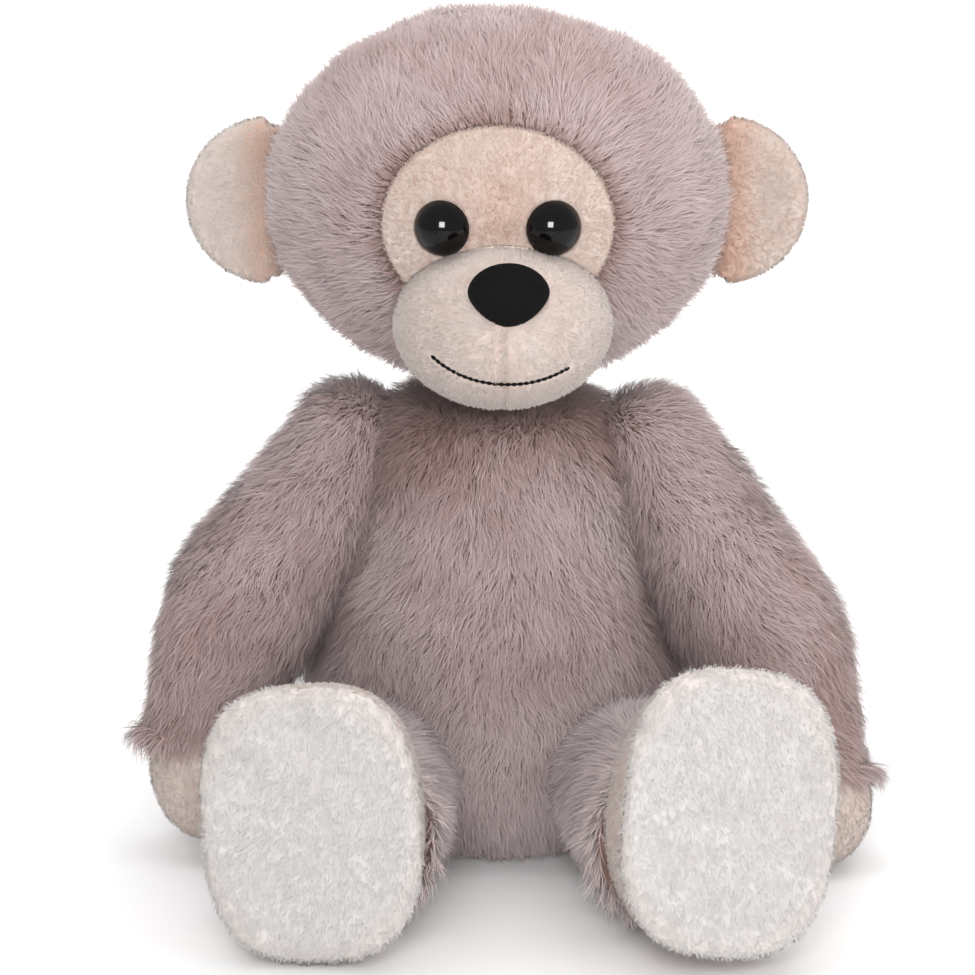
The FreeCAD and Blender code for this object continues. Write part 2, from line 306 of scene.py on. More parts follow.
def turned_cover(name, node, sink):
    """The full round of a turned form, from the outline of its back, where nothing is cut out of it."""
    co, _ = read(NODES[node].data)
    back = co[co[:, 1] > 4 * MM]
    radius = np.hypot(back[:, 0], back[:, 1])
    low, high = back[:, 2].min(), back[:, 2].max()
    heights = np.linspace(low, high, 34)
    outline = np.array([radius[np.abs(back[:, 2] - z) < 3 * MM].max() for z in heights])
    outline[1:-1] = (outline[:-2] + 2 * outline[1:-1] + outline[2:]) / 4
    outline = outline - sink
    heights = heights + np.linspace(sink, -sink, len(heights)) * 0.5
    across = 120
    mesh = bpy.data.meshes.new(name)
    work = bmesh.new()
    rings = []
    crown = [(outline[-1] * k, heights[-1] + 1.5 * MM * (1 - k * k)) for k in (0.8, 0.55, 0.3, 0.1)]
    foot = [(outline[0] * k, heights[0]) for k in (0.1, 0.4, 0.75)]
    for r, z in foot + list(zip(outline, heights)) + crown:
        turns = np.arange(across) * 2 * math.pi / across
        rings.append([work.verts.new((r * math.cos(a), r * math.sin(a), z)) for a in turns])
    for first, second in zip(rings, rings[1:]):
        for i in range(across):
            j = (i + 1) % across
            work.faces.new((first[i], first[j], second[j], second[i]))
    work.faces.new(rings[-1])
    work.faces.new(rings[0][::-1])
    work.to_mesh(mesh)
    work.free()
    return smooth(link(name, mesh))


def own_axes(node):
    """A CAD node's centre, its directions from longest to shortest, and its half sizes along them."""
    points, _ = read(NODES[node].data)
    _, _, axes = np.linalg.svd(points - points.mean(0), full_matrices=False)
    reach = points @ axes.T
    low, high = reach.min(0), reach.max(0)
    return ((low + high) / 2) @ axes, axes, (high - low) / 2


def egg_mesh(name, centre, half, subdivisions):
    mesh = bpy.data.meshes.new(name)
    work = bmesh.new()
    bmesh.ops.create_icosphere(work, subdivisions=subdivisions, radius=1.0)
    work.to_mesh(mesh)
    work.free()
    co, _ = read(mesh)
    write(mesh, unit(co) * half + centre)
    return smooth(link(name, mesh))


# Pile

def scatter(mesh, density, rng):
    """Random roots over a mesh, with the surface's normal at each."""
    co, normal = read(mesh)
    tris = triangles(mesh)
    a, b, c = co[tris[:, 0]], co[tris[:, 1]], co[tris[:, 2]]
    area = np.linalg.norm(np.cross(b - a, c - a), axis=1) / 2
    count = int(area.sum() * density)
    pick = rng.choice(len(tris), count, p=area / area.sum())
    u, v = rng.random(count), rng.random(count)
    over = u + v > 1
    u[over], v[over] = 1 - u[over], 1 - v[over]
    w = 1 - u - v
    share = np.stack((w, u, v), axis=1)[:, :, None]
    roots = np.sum(co[tris[pick]] * share, axis=1)
    normals = unit(np.sum(normal[tris[pick]] * share, axis=1))
    return roots, normals


def strand_mesh(name, roots, normals, middles, tips, width, tone, rng, facing=0.7):
    """Flat tapering strands: a four-sided lower half and a pointed upper half."""
    count = len(roots)
    way = unit(tips - roots)
    turn = rng.normal(0, 1 - facing, (count, 1))
    side = unit(np.cross(way, normals)) + turn * normals
    side = unit(along(side, way)) * width[:, None] / 2
    waist = 0.85 * side
    points = np.stack((roots - side, roots + side, middles - waist, middles + waist, tips), axis=1)
    mesh = bpy.data.meshes.new(name)
    mesh.vertices.add(count * 5)
    mesh.vertices.foreach_set("co", points.astype(np.float32).ravel())
    first = np.arange(count)[:, None] * 5
    loops = first + np.array((0, 1, 3, 2, 2, 3, 4))
    mesh.loops.add(count * 7)
    mesh.loops.foreach_set("vertex_index", loops.astype(np.int32).ravel())
    starts = np.arange(count)[:, None] * 7 + np.array((0, 4))
    mesh.polygons.add(count * 2)
    mesh.polygons.foreach_set("loop_start", starts.astype(np.int32).ravel())
    mesh.polygons.foreach_set("use_smooth", np.ones(count * 2, bool))
    mesh.update(calc_edges=True)
    layer = mesh.uv_layers.new(name="OFBake")
    across = np.array((-1, 1, 1, -1, -1, 1, 0)) * TONE_EDGE
    up = np.array((0.02, 0.02, 0.55, 0.55, 0.55, 0.55, 0.98))
    uv = np.zeros((count, 7, 2))
    uv[:, :, 0] = np.clip(tone, 0.02, 0.98)[:, None] + across
    uv[:, :, 1] = up
    layer.uv.foreach_set("vector", uv.astype(np.float32).ravel())
    shade = unit(0.85 * normals + 0.18 * way + rng.normal(0, 0.14, (count, 3)))
    soft = np.repeat(shade[:, None, :], 5, axis=1).reshape(-1, 3)
    mesh.normals_split_custom_set_from_vertices(soft.tolist())
    return link(name, mesh)


def planted(base, keep, density, rng):
    """The roots that are kept, with their normals and their number."""
    roots, normals = scatter(base.data, density, rng)
    kept = keep(roots, normals)
    return roots[kept], normals[kept], int(kept.sum())


def turned(way, normals, angle):
    """Directions in the surface, turned within it."""
    return way * np.cos(angle)[:, None] + np.cross(normals, way) * np.sin(angle)[:, None]


def long_pile(name, base, comb, keep, tone, seed, length=FUR_LENGTH, lean=52, stretch=None, rise=None):
    """Long fur over a cover. comb and keep take roots and normals; the others take roots.
    stretch multiplies a strand's length, and rise its lean away from upright."""
    rng = np.random.default_rng(seed)
    roots, normals, count = planted(base, keep, FUR_DENSITY, rng)
    way = unit(along(comb(roots, normals), normals) + 1e-9)
    swirl = 0.55 * lattice_noise(roots, 13 * MM, seed + 1) + 0.35 * lattice_noise(roots, 5 * MM, seed + 2)
    way = turned(way, normals, swirl + rng.normal(0, 0.28, count))
    tilt = np.radians(lean + 14 * lattice_noise(roots, 8 * MM, seed + 3) + rng.normal(0, 9, count))
    if rise is not None:
        tilt = tilt * rise(roots)
    size = length * np.clip(rng.normal(0.95, 0.16, count), 0.45, 1.35)
    size = size * (1 + 0.16 * lattice_noise(roots, 9 * MM, seed + 4))
    if stretch is not None:
        size = size * stretch(roots)
    low = np.clip(tilt - 0.30, 0.02, 1.3)[:, None]
    high = np.clip(tilt + 0.36, 0.1, 1.65)[:, None]
    middles = roots + 0.52 * size[:, None] * (np.cos(low) * normals + np.sin(low) * way)
    tips = middles + 0.52 * size[:, None] * (np.cos(high) * normals + np.sin(high) * way)
    centre = tuft_centres(roots, FUR_TUFT, seed + 5)
    pull = along(centre - roots, normals) * (0.25 + 0.45 * rng.random((count, 1)))
    middles = middles + 0.40 * pull
    tips = tips + pull
    middles[:, 2] = np.maximum(middles[:, 2], FLOOR_GAP)
    tips[:, 2] = np.maximum(tips[:, 2], FLOOR_GAP)
    width = FUR_WIDTH * np.clip(rng.normal(1, 0.2, count), 0.5, 1.6)
    tuft = lattice_noise(centre, 1.9 * MM, seed + 6)
    shade = tone(roots) + 0.09 * tuft + rng.normal(0, 0.07, count)
    return strand_mesh(name, roots, normals, middles, tips, width, shade, rng)


def dress_pile(name, base, comb, keep, tone, seed, slot, body, **shape):
    """Long fur as a front and a back piece."""
    halves = {"front": lambda p, n: n[:, 1] < 0, "back": lambda p, n: n[:, 1] >= 0}
    for half, chosen in halves.items():
        def both(p, n, chosen=chosen):
            return keep(p, n) & chosen(p, n)
        fur = long_pile(f"{name}_{half}", base, comb, both, tone, seed, **shape)
        dress(fur, FUR, body)


def short_pile(name, base, comb, keep, tone, seed, length=FUZZ_LENGTH, density=FUZZ_DENSITY):
    """The short nap of the plush panels."""
    rng = np.random.default_rng(seed)
    roots, normals, count = planted(base, keep, density, rng)
    way = unit(along(comb(roots, normals), normals) + 1e-9)
    swirl = 0.7 * lattice_noise(roots, 6 * MM, seed + 1) + rng.normal(0, 0.45, count)
    way = turned(way, normals, swirl)
    tilt = FUZZ_LEAN + rng.normal(0, 10, count) + 12 * lattice_noise(roots, 4 * MM, seed + 2)
    tilt = np.radians(tilt)[:, None]
    size = (length * np.clip(rng.normal(1, 0.2, count), 0.4, 1.5))[:, None]
    middles = roots + 0.5 * size * (np.cos(tilt - 0.3) * normals + np.sin(tilt - 0.3) * way)
    tips = middles + 0.5 * size * (np.cos(tilt + 0.3) * normals + np.sin(tilt + 0.3) * way)
    centre = tuft_centres(roots, FUZZ_TUFT, seed + 5)
    tips = tips + along(centre - roots, normals) * 0.4
    shade = tone(roots) + 0.10 * lattice_noise(centre, 1.2 * MM, seed + 6) + rng.normal(0, 0.07, count)
    thick = FUZZ_WIDTH * np.clip(rng.normal(1, 0.2, count), 0.5, 1.6)
    return strand_mesh(name, roots, normals, middles, tips, thick, shade, rng)


# Finishes

def finish_of(name, roughness):
    material = bpy.data.materials.new(name)
    material.use_nodes = True
    nodes, links = material.node_tree.nodes, material.node_tree.links
    shader = nodes["Principled BSDF"]
    shader.inputs["Roughness"].default_value = roughness
    return material, nodes, links, shader


def ramp(nodes, stops):
    node = nodes.new("ShaderNodeValToRGB")
    elements = node.color_ramp.elements
    while len(elements) < len(stops):
        elements.new(0.5)
    for element, (place, colour) in zip(elements, stops):
        element.position = place
        element.color = (*colour, 1)
    return node


def noise(nodes, links, scale, detail=3):
    node = nodes.new("ShaderNodeTexNoise")
    node.inputs["Scale"].default_value = scale
    node.inputs["Detail"].default_value = detail
    place = nodes.new("ShaderNodeTexCoord")
    links.new(place.outputs["Object"], node.inputs["Vector"])
    return node


def mixed(nodes, links, factor, first, second, how="MIX"):
    node = nodes.new("ShaderNodeMix")
    node.data_type = "RGBA"
    node.blend_type = how
    for socket, value in ((0, factor), (6, first), (7, second)):
        if hasattr(value, "links"):
            links.new(value, node.inputs[socket])
        elif socket == 0:
            node.inputs[socket].default_value = value
        else:
            node.inputs[socket].default_value = (*value, 1)
    return node.outputs[2]


def srgb(red, green, blue):
    """A linear colour from the usual 0 to 255 values."""
    parts = (red / 255, green / 255, blue / 255)
    return tuple(((c + 0.055) / 1.055) ** 2.4 if c > 10 / 255 else c / 12.92 for c in parts)


def pile_finish(name, tones, root, root_depth):
    """Strand colour: its tone across the map, darker toward the root."""
    material, nodes, links, shader = finish_of(name, 0.85)
    where = nodes.new("ShaderNodeUVMap")
    where.uv_map = "OFBake"
    split = nodes.new("ShaderNodeSeparateXYZ")
    links.new(where.outputs["UV"], split.inputs["Vector"])
    count = len(tones) - 1
    tone = ramp(nodes, [(i / count, colour) for i, colour in enumerate(tones)])
    links.new(split.outputs["X"], tone.inputs["Fac"])
    depth = ramp(nodes, [(0.0, (root_depth,) * 3), (0.75, (0, 0, 0))])
    links.new(split.outputs["Y"], depth.inputs["Fac"])
    colour = mixed(nodes, links, depth.outputs["Color"], tone.outputs["Color"], root)
    links.new(colour, shader.inputs["Base Color"])
    shader.inputs["Specular IOR Level"].default_value = 0.25
    shader.inputs["Sheen Weight"].default_value = 0.25
    shader.inputs["Sheen Roughness"].default_value = 0.5
    face_outward(nodes, links, shader)
    return material


def face_outward(nodes, links, shader):
    """Lights the back of a strand by the same outward normal as its front."""
    geometry = nodes.new("ShaderNodeNewGeometry")
    side = nodes.new("ShaderNodeMath")
    side.operation = "MULTIPLY_ADD"
    side.inputs[1].default_value = -2
    side.inputs[2].default_value = 1
    links.new(geometry.outputs["Backfacing"], side.inputs[0])
    outward = nodes.new("ShaderNodeVectorMath")
    outward.operation = "SCALE"
    links.new(geometry.outputs["Normal"], outward.inputs[0])
    links.new(side.outputs[0], outward.inputs["Scale"])
    links.new(outward.outputs[0], shader.inputs["Normal"])


def cloth_finish(name, light, dark, tint_and_shade, roughness=0.9, sheen=0.3, grain=900, height=0.25):
    """Cloth with a soft mottle, and a warm tint where its tint attribute is high, which near the ears' roots
    is painted shade.
    """
    material, nodes, links, shader = finish_of(name, roughness)
    wide = noise(nodes, links, 90, 4)
    mottle = ramp(nodes, [(0.35, dark), (0.65, light)])
    links.new(wide.outputs["Fac"], mottle.inputs["Fac"])
    mark = nodes.new("ShaderNodeAttribute")
    mark.attribute_name = "tint_and_shade"
    colour = mixed(nodes, links, mark.outputs["Fac"], mottle.outputs["Color"], tint_and_shade)
    links.new(colour, shader.inputs["Base Color"])
    fine = noise(nodes, links, grain, 2)
    rough = nodes.new("ShaderNodeBump")
    rough.inputs["Strength"].default_value = height
    rough.inputs["Distance"].default_value = 0.4 * MM
    links.new(fine.outputs["Fac"], rough.inputs["Height"])
    links.new(rough.outputs["Normal"], shader.inputs["Normal"])
    shader.inputs["Specular IOR Level"].default_value = 0.2
    shader.inputs["Sheen Weight"].default_value = sheen
    return material


def dress(obj, material, body):
    obj.data.materials.clear()
    obj.data.materials.append(material)
    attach(obj, body)
    return obj


def untinted(obj):
    tint_and_shade(obj, np.zeros(len(obj.data.vertices)))


def tint_and_shade(obj, values):
    mark = obj.data.attributes.new("tint_and_shade", "FLOAT", "POINT")
    mark.data.foreach_set("value", np.clip(values, 0, 1).astype(np.float32))


FUR_TONES = [srgb(122, 90, 82), srgb(166, 139, 134), srgb(194, 174, 173), srgb(212, 196, 195)]
FUR = pile_finish("long fur", FUR_TONES, srgb(148, 118, 110), 0.5)
FUR_CLOTH = cloth_finish("fur backing", srgb(140, 112, 104), srgb(116, 90, 82), srgb(120, 90, 80))
BEIGE_TONES = [srgb(184, 142, 122), srgb(196, 174, 162), srgb(204, 191, 184), srgb(217, 209, 205)]
BEIGE_FUZZ = pile_finish("beige nap", BEIGE_TONES, srgb(195, 172, 160), 0.3)
BEIGE = cloth_finish("beige plush", srgb(205, 190, 182), srgb(195, 177, 167), srgb(192, 148, 126))
WHITE_TONES = [srgb(204, 174, 156), srgb(204, 198, 195), srgb(211, 207, 205), srgb(218, 216, 215)]
WHITE_FUZZ = pile_finish("off-white nap", WHITE_TONES, srgb(204, 198, 195), 0.2)
WHITE = cloth_finish("off-white plush", srgb(212, 208, 206), srgb(205, 199, 196), srgb(206, 176, 156))
FIBRE_PALE = srgb(240, 238, 232)
FIBRE = cloth_finish("fibre filling", FIBRE_PALE, srgb(222, 220, 212), FIBRE_PALE, height=0.8)
BAG = cloth_finish("bag cloth", srgb(226, 222, 212), srgb(208, 204, 194), srgb(226, 222, 212), grain=2200)


def shiny(name, colour, roughness, coat):
    material, nodes, links, shader = finish_of(name, roughness)
    faint = noise(nodes, links, 240)
    shade = ramp(nodes, [(0.3, colour), (0.7, tuple(c * 1.25 for c in colour))])
    links.new(faint.outputs["Fac"], shade.inputs["Fac"])
    links.new(shade.outputs["Color"], shader.inputs["Base Color"])
    shader.inputs["Specular IOR Level"].default_value = 0.22
    shader.inputs["Coat Weight"].default_value = coat
    shader.inputs["Coat Roughness"].default_value = 0.03
    return material


def woven(name, colour, pitch):
    """Fine plain weave: two crossing sets of threads."""
    material, nodes, links, shader = finish_of(name, 0.85)
    shader.inputs["Specular IOR Level"].default_value = 0.08
    place = nodes.new("ShaderNodeTexCoord")
    heights = []
    for way in ("X", "Z"):
        band = nodes.new("ShaderNodeTexWave")
        band.bands_direction = way
        band.inputs["Scale"].default_value = 0.314 / pitch
        band.inputs["Distortion"].default_value = 0.6
        links.new(place.outputs["Object"], band.inputs["Vector"])
        heights.append(band.outputs["Fac"])
    both = nodes.new("ShaderNodeMath")
    both.operation = "MULTIPLY"
    links.new(heights[0], both.inputs[0])
    links.new(heights[1], both.inputs[1])
    shade = ramp(nodes, [(0.0, colour), (1.0, tuple(2.4 * c for c in colour))])
    links.new(both.outputs[0], shade.inputs["Fac"])
    links.new(shade.outputs["Color"], shader.inputs["Base Color"])
    rough = nodes.new("ShaderNodeBump")
    rough.inputs["Strength"].default_value = 0.5
    rough.inputs["Distance"].default_value = 0.15 * MM
    links.new(both.outputs[0], rough.inputs["Height"])
    links.new(rough.outputs["Normal"], shader.inputs["Normal"])
    return material


EYE = shiny("black eye plastic", srgb(9, 7, 7), 0.09, 0.05)
WASHER = shiny("white washer plastic", srgb(220, 218, 210), 0.4, 0.1)
NOSE_CLOTH = woven("black nose cloth", srgb(11, 11, 11), 0.55 * MM)
THREAD = woven("black thread", srgb(13, 11, 11), 0.3 * MM)
PALE_THREAD = cloth_finish("pale thread", srgb(240, 226, 214), srgb(226, 206, 190), srgb(240, 226, 214))


# Head

head_low, head_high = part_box("head_fur")
head_round = (head_high.z - head_low.z) / 2
HEAD_HALF = np.array([(head_high.x - head_low.x) / 2, head_round, head_round])
HEAD = np.array([(head_low.x + head_high.x) / 2, head_high.y - HEAD_HALF[1], (head_low.z + head_high.z) / 2])
muzzle_low, muzzle_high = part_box("muzzle_panel")
MUZZLE_HALF = np.array([(muzzle_high.x - muzzle_low.x) / 2] * 2 + [(muzzle_high.z - muzzle_low.z) / 2])
MUZZLE = np.array([
    (muzzle_low.x + muzzle_high.x) / 2,
    muzzle_low.y + MUZZLE_HALF[1],
    (muzzle_low.z + muzzle_high.z) / 2,
])
brow_low, brow_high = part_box("face_panel")
BROW = np.array([(brow_low.x + brow_high.x) / 2, 0, brow_high.z - BROW_HALF_HEIGHT])
BROW_HALF = np.array([(brow_high.x - brow_low.x) / 2, 1, BROW_HALF_HEIGHT])


def in_brow(p):
    front = p[:, 1] < HEAD[1]
    return np.where(front, ((p - BROW)[:, 0] / BROW_HALF[0]) ** 2 + ((p - BROW)[:, 2] / BROW_HALF[2]) ** 2, 9)


def in_muzzle(p):
    return np.sum(((p - MUZZLE) / MUZZLE_HALF) ** 2, axis=1)


def rim_gap(p):
    """1 at the edge of the face opening, and more with distance from it."""
    return np.minimum(in_brow(p), in_muzzle(p))


def build_head():
    cloth = egg_mesh("head_cloth", HEAD, HEAD_HALF - CLOTH_SINK, 5)
    points, normal = read(cloth.data)
    dish = 0.5 * MM * (1 - step(in_brow(points), 0.9, 1.25))
    wave = 0.7 * MM * lattice_noise(points, 26 * MM, 11)
    write(cloth.data, points + normal * (wave - dish)[:, None])
    untinted(cloth)

    def comb(p, n):
        way = p - np.array([0.0, -70 * MM, 180 * MM])
        way[:, 1] = 22 * MM
        return way

    def keep(p, n):
        return (in_brow(p) > 0.985) & (in_muzzle(p) > 1.02)

    def tone(p):
        patch = 0.10 * lattice_noise(p, 16 * MM, 21)
        rim = 0.22 * (1 - step(in_brow(p), 1.06, 1.22))
        # Painted shade: the fur on the top of the head is made darker.
        crown = 0.13 * step(p[:, 2], 212 * MM, 236 * MM)
        # Painted shade: the fur low on the head, on its underside, is made darker too.
        return HEAD_TONE + patch - rim - crown - 0.10 * step(-p[:, 2], -165 * MM, -135 * MM)

    def reach(p):
        return 0.66 + 0.34 * step(rim_gap(p), 1.0, 1.7)

    def rise(p):
        return 0.30 + 0.70 * step(rim_gap(p), 1.0, 1.35)

    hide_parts("head_fur")
    dress(cloth, FUR_CLOTH, "head")
    dress_pile("head_pile", cloth, comb, keep, tone, 31, "long_pile", "head",
               lean=60, stretch=reach, rise=rise)


def build_face():
    brow = cover("brow_plush", ["face_panel"], 0.9 * MM, 0)
    points, normal = read(brow.data)
    pinch = 0.9 * MM * bump(points[:, 2], 189 * MM, 3 * MM) * bump(points[:, 0], 0, 11 * MM)
    write(brow.data, points - normal * pinch[:, None])
    tint_and_shade(brow, 0.35 * bump(points[:, 0], 0, 12 * MM) * bump(points[:, 2], 196 * MM, 14 * MM))
    muzzle = cover("muzzle_plush", ["muzzle_panel"], 0.8 * MM, 0)
    points, normal = read(muzzle.data)
    x = points[:, 0] - MUZZLE[0]
    front = step(-points[:, 1], -(MUZZLE[1] - 5 * MM), -(MUZZLE[1] - 15 * MM))
    seam = bump(x, 0, 1.1 * MM) * front * step(-points[:, 2], -172 * MM, -166 * MM)
    write(muzzle.data, points - normal * (0.9 * MM * seam)[:, None])
    tint_and_shade(muzzle, 0.25 * bump(x, 0, 3 * MM) * front)

    def outward(p, n):
        way = p - np.array([MUZZLE[0], 0.0, 172 * MM])
        way[:, 1] = 10 * MM
        return way

    def brow_tone(p):
        warm = bump(p[:, 0], 0, 13 * MM) * bump(p[:, 2], 197 * MM, 13 * MM)
        return BROW_TONE + 0.10 * lattice_noise(p, 9 * MM, 41) - 0.12 * warm

    def muzzle_tone(p):
        beside = bump(p[:, 0] - MUZZLE[0], 0, 1.0 * MM)
        return MUZZLE_TONE + 0.08 * lattice_noise(p, 9 * MM, 42) + 0.15 * beside

    def seen(p, n):
        return n[:, 1] < 0.3

    thread, _ = read(NODES["mouth_stitch"].data)
    tree = KDTree(len(thread))
    for i, spot in enumerate(thread):
        tree.insert(spot, i)
    tree.balance()

    def clear(p, n):
        gap = np.array([tree.find(spot)[2] for spot in p])
        return seen(p, n) & (gap > 0.9 * MM)

    brow_nap = short_pile("brow_nap", brow, outward, seen, brow_tone, 51)
    muzzle_nap = short_pile("muzzle_nap", muzzle, outward, clear, muzzle_tone, 52)
    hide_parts("face_panel")
    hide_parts("muzzle_panel")
    dress(brow, BEIGE, "head")
    dress(muzzle, BEIGE, "head")
    dress(brow_nap, BEIGE_FUZZ, "head")
    dress(muzzle_nap, BEIGE_FUZZ, "head")


def seam_points():
    """Where the muzzle's top edge meets the brow, between the eyes."""
    spots = []
    for x in np.linspace(-8.0 * MM, 8.6 * MM, 45):
        heights = np.linspace(178 * MM, 190 * MM, 121)
        grid = np.stack((np.full(121, x), np.zeros(121), heights), axis=1)
        muzzle = 1 - ((grid - MUZZLE) / MUZZLE_HALF)[:, 0] ** 2 - ((grid - MUZZLE) / MUZZLE_HALF)[:, 2] ** 2
        muzzle_y = MUZZLE[1] - MUZZLE_HALF[1] * np.sqrt(np.maximum(muzzle, 0))
        half = HEAD_HALF - 2 * MM
        brow = 1 - ((grid - HEAD) / half)[:, 0] ** 2 - ((grid - HEAD) / half)[:, 2] ** 2
        brow_y = HEAD[1] - half[1] * np.sqrt(np.maximum(brow, 0))
        best = np.argmin(np.abs(muzzle_y - brow_y) + 1.0 * (muzzle <= 0))
        spots.append((x, brow_y[best], heights[best]))
    return np.array(spots)


def tube(name, path, radius):
    """A thread along a path; radius is one value a point."""
    mesh = bpy.data.meshes.new(name)
    work = bmesh.new()
    way = unit(np.gradient(path, axis=0))
    side = unit(np.cross(way, np.array((0.0, 0.2, 1.0))))
    up = np.cross(side, way)
    rings = []
    for spot, a, b, r in zip(path, side, up, radius):
        turns = np.arange(8) * math.pi / 4
        rings.append([work.verts.new(spot + r * (math.cos(t) * a + math.sin(t) * b)) for t in turns])
    for first, second in zip(rings, rings[1:]):
        for i in range(8):
            j = (i + 1) % 8
            work.faces.new((first[i], first[j], second[j], second[i]))
    work.faces.new(rings[0])
    work.faces.new(rings[-1][::-1])
    bmesh.ops.recalc_face_normals(work, faces=work.faces)
    work.to_mesh(mesh)
    work.free()
    return smooth(link(name, mesh))


def build_face_seam():
    path = seam_points()
    path[:, 1] -= 0.7 * MM
    stitch = np.abs(np.sin(np.arange(len(path)) * math.pi / 5))
    seam = tube("face_seam", path, 0.35 * MM + 0.18 * MM * stitch)
    untinted(seam)
    dress(seam, PALE_THREAD, "head")


def build_mouth():
    """A thin line of stitches along the CAD thread."""
    points, _ = read(NODES["mouth_stitch"].data)
    low, high = points[:, 0].min(), points[:, 0].max()
    cuts = np.linspace(low, high, 42)
    middles = []
    for first, second in zip(cuts, cuts[1:]):
        near = points[(points[:, 0] >= first) & (points[:, 0] <= second)]
        if len(near):
            middles.append((near[:, 0].mean(), near[:, 1].min() + 0.5 * MM, near[:, 2].mean()))
    path = relaxed_path(np.array(middles))
    stitch = np.abs(np.sin(np.arange(len(path)) * math.pi / 5))
    mouth = tube("mouth_thread", path, 0.22 * MM + 0.30 * MM * stitch)
    untinted(mouth)
    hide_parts("mouth_stitch")
    dress(mouth, THREAD, "head")


def relaxed_path(path, count=121):
    """A smooth, evenly stepped copy of a path."""
    for _ in range(3):
        path[1:-1] = (path[:-2] + 2 * path[1:-1] + path[2:]) / 4
    steps = np.concatenate(([0], np.cumsum(np.linalg.norm(np.diff(path, axis=0), axis=1))))
    places = np.linspace(0, steps[-1], count)
    return np.stack([np.interp(places, steps, path[:, i]) for i in range(3)], axis=1)


def build_nose():
    low, high = (np.array(corner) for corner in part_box("nose"))
    centre, half = (low + high) / 2, (high - low) / 2
    half[1] = half[2]
    centre[1] = low[1] + half[1]
    nose = egg_mesh("nose_pad", centre, half, 5)
    points, _ = read(nose.data)
    down = step(-(points[:, 2] - centre[2]) / half[2], -0.25, 1.0)
    points[:, 0] = centre[0] + (points[:, 0] - centre[0]) * (1 - 0.24 * down)
    write(nose.data, points)
    untinted(nose)
    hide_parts("nose")
    dress(nose, NOSE_CLOTH, "head")


def build_ear(side):
    root = np.array(JOINTS[f"ear_fold_{side}"]["pos_m"])
    sign = SIDES[side]
    for part, seed in (("front", 61), ("back", 62)):
        plush = cover(f"ear_{part}_plush_{side}", [f"ear_{part}_{side}"], 0.9 * MM, 0)
        points, _ = read(plush.data)
        out = (points[:, 0] - root[0]) * sign
        dish = 1.4 * MM * bump(out, 9 * MM, 7 * MM) * bump(points[:, 2], root[2], 12 * MM)
        points[:, 1] += dish
        write(plush.data, points)
        # Painted shade: the cloth gets a warm, darker tint near the ear's root, where it meets the head.
        tint_and_shade(plush, 0.7 * (1 - step(out, 0, 12 * MM)))

        def outward(p, n):
            return (p - root) * np.array((1.0, 0.3, 1.0))

        def tone(p, root=root):
            reach = (p[:, 0] - root[0]) * sign
            # Painted shade: the nap is darker and warmer toward the ear's root.
            warm = 0.34 * (1 - step(reach, 0, 13 * MM))
            return EAR_TONE[side] - warm + 0.08 * lattice_noise(p, 8 * MM, seed)

        nap = short_pile(f"ear_{part}_nap_{side}", plush, outward, everywhere, tone, seed)
        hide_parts(f"ear_{part}_{side}")
        dress(plush, BEIGE, f"ear_{side}")
        dress(nap, BEIGE_FUZZ, f"ear_{side}")


# Body

def build_torso():
    cloth = turned_cover("torso_cloth", "torso_fur", CLOTH_SINK)
    points, normal = read(cloth.data)
    write(cloth.data, ripple(points, normal, 1.1 * MM, 24 * MM, 71))
    untinted(cloth)

    def comb(p, n):
        way = p * np.array((0.5, 0.5, 0.0))
        way[:, 2] = -40 * MM
        return way

    def keep(p, n):
        return (p[:, 2] > 2 * MM) & (n[:, 2] > -0.8)

    def tone(p):
        patch = 0.16 * lattice_noise(p, 15 * MM, 72)
        # Painted shadow: the top of the torso, under the chin, is made darker.
        chin_shadow = 1.5 * step(p[:, 2], 96 * MM, 126 * MM)
        brown = bump(p[:, 2], 76 * MM, 20 * MM) * bump(p[:, 0], 8 * MM, 26 * MM) * (p[:, 1] < 0)
        # Painted light: the fur low on the torso, between the legs, is made lighter to lift the shade that
        # falls there.
        low_painted_light = 1 - step(p[:, 2], 10 * MM, 62 * MM)
        return TORSO_TONE + patch - 0.22 * chin_shadow - 0.16 * brown + 0.26 * low_painted_light

    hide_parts("torso_fur")
    dress(cloth, FUR_CLOTH, "torso")
    dress_pile("torso_pile", cloth, comb, keep, tone, 73, "long_pile", "torso")


def build_neck():
    """Fur cloth around the neck plug, for when the head tips back."""
    cloth = cover("neck_cloth", ["neck_stuffing"], 1.2 * MM, -0.3 * MM)
    untinted(cloth)

    def keep(p, n):
        return np.abs(n[:, 2]) < 0.6

    def tone(p):
        return NECK_TONE + 0.10 * lattice_noise(p, 10 * MM, 76)

    fur = long_pile("neck_pile", cloth, steady((0.0, 0.0, -1.0)), keep, tone, 77, length=4 * MM)
    dress(cloth, FUR_CLOTH, "neck")
    dress(fur, FUR, "neck")


def middle(node):
    low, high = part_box(node)
    return (np.array(low) + np.array(high)) / 2


